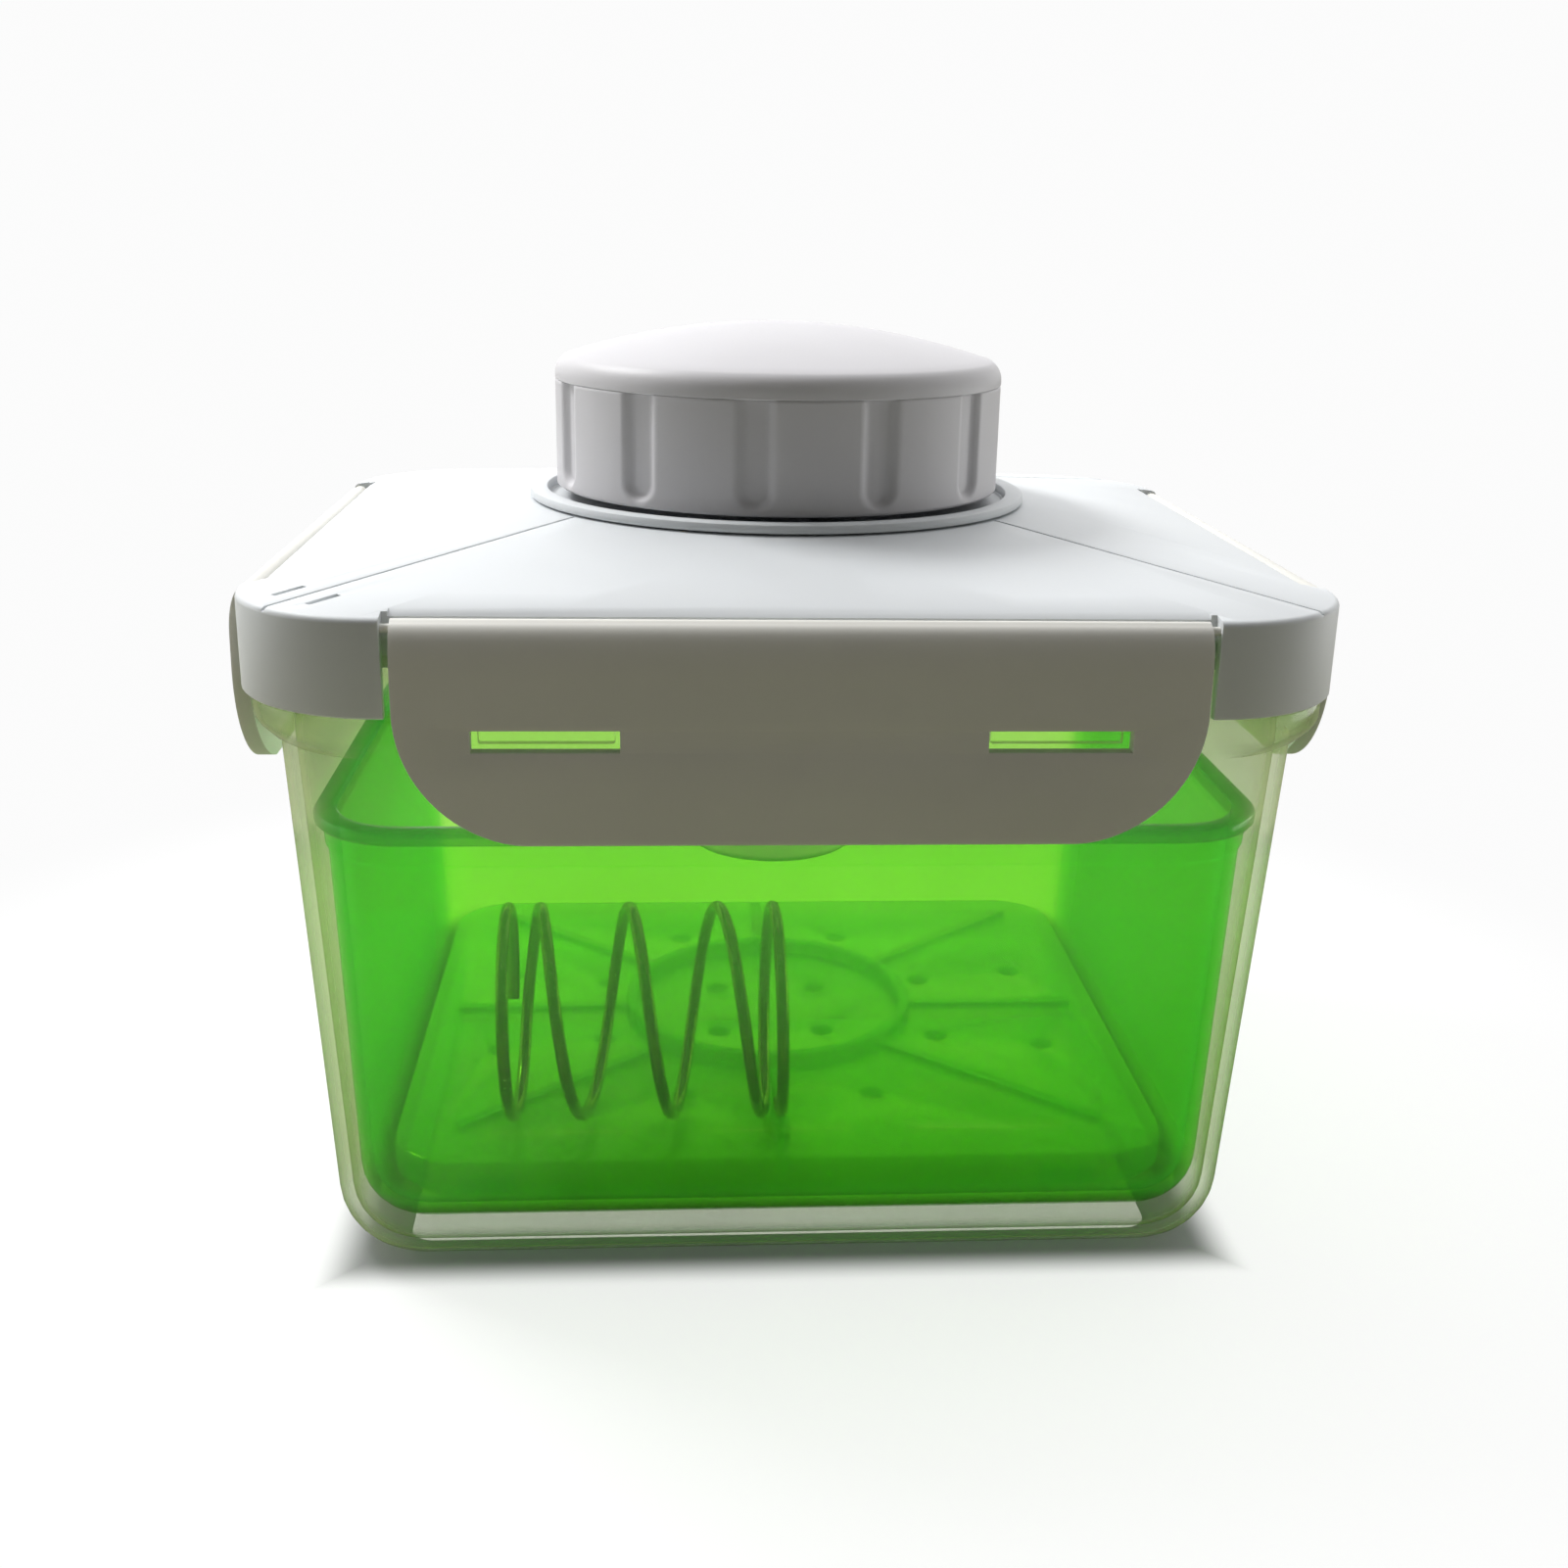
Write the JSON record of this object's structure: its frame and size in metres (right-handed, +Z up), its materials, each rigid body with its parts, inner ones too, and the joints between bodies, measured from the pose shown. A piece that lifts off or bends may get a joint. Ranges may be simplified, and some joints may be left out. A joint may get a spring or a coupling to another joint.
{
  "type": "tofu press",
  "caption": "Square-sided tub with a strainer basket, press plate, loose spring and snap-latched lid whose fluted knob drives a plunger down.",
  "frame": {"origin": "centre of the tub's flat base, in the middle of the whole object's footprint", "axes": "+Z up along the knob's axis, +X to the right along the longer side, +Y to the back"},
  "size_m": [0.1756, 0.1586, 0.15],
  "materials": {
    "tub_clear": "frosted translucent polypropylene, faintly yellow-green",
    "basket_green": "translucent green polypropylene, moulded satin",
    "plate_green": "translucent green polypropylene, moulded satin",
    "spring_steel": "drawn stainless spring wire",
    "lid_white": "moulded white polypropylene, fine satin",
    "latch_white": "moulded white polypropylene, fine satin",
    "knob_white": "moulded white ABS, satin",
    "gasket_silicone": "translucent white silicone",
    "seal_rubber": "black nitrile rubber",
    "acetal": "natural acetal, turned and moulded",
    "hardware_steel": "stainless steel, bright"
  },
  "bodies": {
    "tub": {"container": "tub_clear"},
    "basket": {"strainer_basket": "basket_green"},
    "plate": {"press_plate": "plate_green"},
    "spring": {"compression_spring": "spring_steel"},
    "lid": {"lid_shell": "lid_white", "lid_gasket": "gasket_silicone", "neck_bushing": "lid_white", "bushing_nut": "lid_white", "thrust_washer": "acetal"},
    "knob": {"knob_body": "knob_white", "knob_crown": "knob_white", "lead_screw": "acetal", "spindle_screw": "hardware_steel", "spindle_o_ring": "seal_rubber", "retaining_ring": "hardware_steel"},
    "plunger": {"plunger": "lid_white"},
    "latch_front": {"front_latch": "latch_white"},
    "latch_rear": {"rear_latch": "latch_white"},
    "latch_left": {"left_latch": "latch_white"},
    "latch_right": {"right_latch": "latch_white"}
  },
  "joints": [
    {"name": "basket_lift", "type": "slide", "parent": "tub", "child": "basket", "axis": [0, 0, 1], "range_m": [0, 0.105]},
    {"name": "plate_lift", "type": "slide", "parent": "basket", "child": "plate", "axis": [0, 0, 1], "range_m": [0, 0.072]},
    {"name": "spring_lift", "type": "slide", "parent": "plate", "child": "spring", "axis": [0, 0, 1], "range_m": [0, 0.064]},
    {"name": "lid_lift", "type": "slide", "parent": "spring", "child": "lid", "axis": [0, 0, 1], "range_m": [0, 0.08]},
    {"name": "knob_turn", "type": "hinge", "parent": "lid", "child": "knob", "pos_m": [0, 0, 0.13], "axis": [0, 0, -1], "range_deg": [0, 900]},
    {"name": "plunger_slide", "type": "slide", "parent": "lid", "child": "plunger", "axis": [0, 0, -1], "range_m": [0, 0.015]},
    {"name": "front_latch_hinge", "type": "hinge", "parent": "lid", "child": "latch_front", "pos_m": [0, -0.0751, 0.1114], "axis": [-1, 0, 0], "range_deg": [0, 115]},
    {"name": "rear_latch_hinge", "type": "hinge", "parent": "lid", "child": "latch_rear", "pos_m": [0, 0.0751, 0.1114], "axis": [1, 0, 0], "range_deg": [0, 115]},
    {"name": "left_latch_hinge", "type": "hinge", "parent": "lid", "child": "latch_left", "pos_m": [-0.0836, 0, 0.1114], "axis": [0, 1, 0], "range_deg": [0, 115]},
    {"name": "right_latch_hinge", "type": "hinge", "parent": "lid", "child": "latch_right", "pos_m": [0.0836, 0, 0.1114], "axis": [0, -1, 0], "range_deg": [0, 115]}
  ],
  "couplings": [
    {"joint": "plunger_slide", "follows": "knob_turn", "m_per_rad": 0.00095493}
  ]
}
